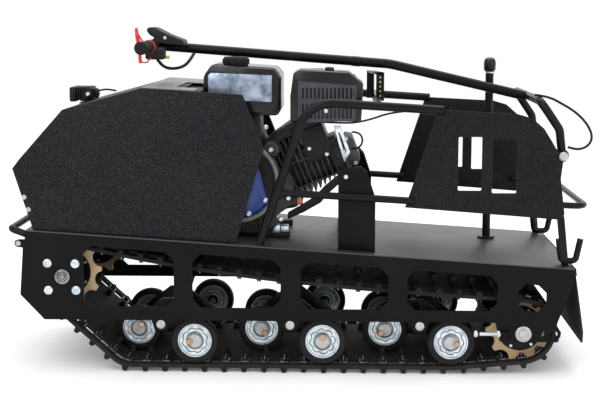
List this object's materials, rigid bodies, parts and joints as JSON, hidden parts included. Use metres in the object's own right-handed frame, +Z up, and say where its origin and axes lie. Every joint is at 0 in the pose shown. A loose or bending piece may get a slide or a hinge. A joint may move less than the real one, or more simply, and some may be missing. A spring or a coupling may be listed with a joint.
{
  "type": "motorized snow tug",
  "caption": "Compact tracked snow tug with one wide rubber track, an open engine, a tube-framed cargo deck and a long fold-over steering handle.",
  "frame": {"origin": "centre of the bounding box at the ground under the track", "axes": "+X to the rear, +Y to the far side of the picture, +Z up"},
  "size_m": [1.502, 0.58, 0.87],
  "materials": {
    "black_plastic": "matt",
    "black_powder": "textured satin powder coat",
    "blue_paint": "gloss",
    "black_satin": "satin",
    "rubber": "matt",
    "steel": "plain",
    "engine_metal": "dull cast",
    "zinc": "bright zinc plated",
    "tan_plastic": "matt",
    "red_plastic": "satin"
  },
  "bodies": {
    "chassis": {"air_cleaner": "black_plastic", "bumper": "black_powder", "cargo_panel_far": "black_powder", "cargo_panel_near": "black_powder", "clutch_plate": "blue_paint", "clutch_rim": "black_satin", "cooling_shroud": "black_powder", "cross_shafts": "steel", "cylinder": "engine_metal", "deck": "black_powder", "drive_bearings": "zinc", "engine_block": "engine_metal", "engine_brackets": "black_powder", "exhaust_shroud": "engine_metal", "frame_tubes": "black_powder", "front_wall": "black_powder", "head_cover": "engine_metal", "hood_cap": "black_powder", "hood_side_far": "black_powder", "hood_side_near": "black_powder", "hood_skin": "black_powder", "lamp": "black_satin", "lamp_bracket": "black_satin", "lamp_lead": "rubber", "lever_knob": "black_plastic", "lever_post": "black_powder", "middle_posts": "black_powder", "muffler": "black_powder", "muffler_shield": "black_powder", "outer_bolts": "zinc", "pivot_bolts": "zinc", "rear_flap": "rubber", "rear_ring": "black_powder", "rear_uprights": "black_powder", "recoil_starter": "black_plastic", "rocker_arms": "black_satin", "roller_discs": "zinc", "roller_tyres": "rubber", "side_plate_far": "black_powder", "side_plate_near": "black_powder", "sprockets": "tan_plastic", "support_hoop": "black_powder", "tank": "black_powder", "tank_cap": "black_plastic", "tensioners": "steel", "track": "rubber", "track_axles": "steel"},
    "handle": {"handle_frame": "black_powder", "grips": "rubber", "console": "black_plastic", "switch_box": "black_plastic", "throttle_lever": "red_plastic", "loop_cable": "rubber", "control_cable": "rubber"}
  },
  "joints": [
    {"name": "handle_pivot", "type": "hinge", "parent": "chassis", "child": "handle", "pos_m": [0.66, 0, 0.556], "axis": [0, 1, 0], "range_deg": [0, 150]}
  ]
}
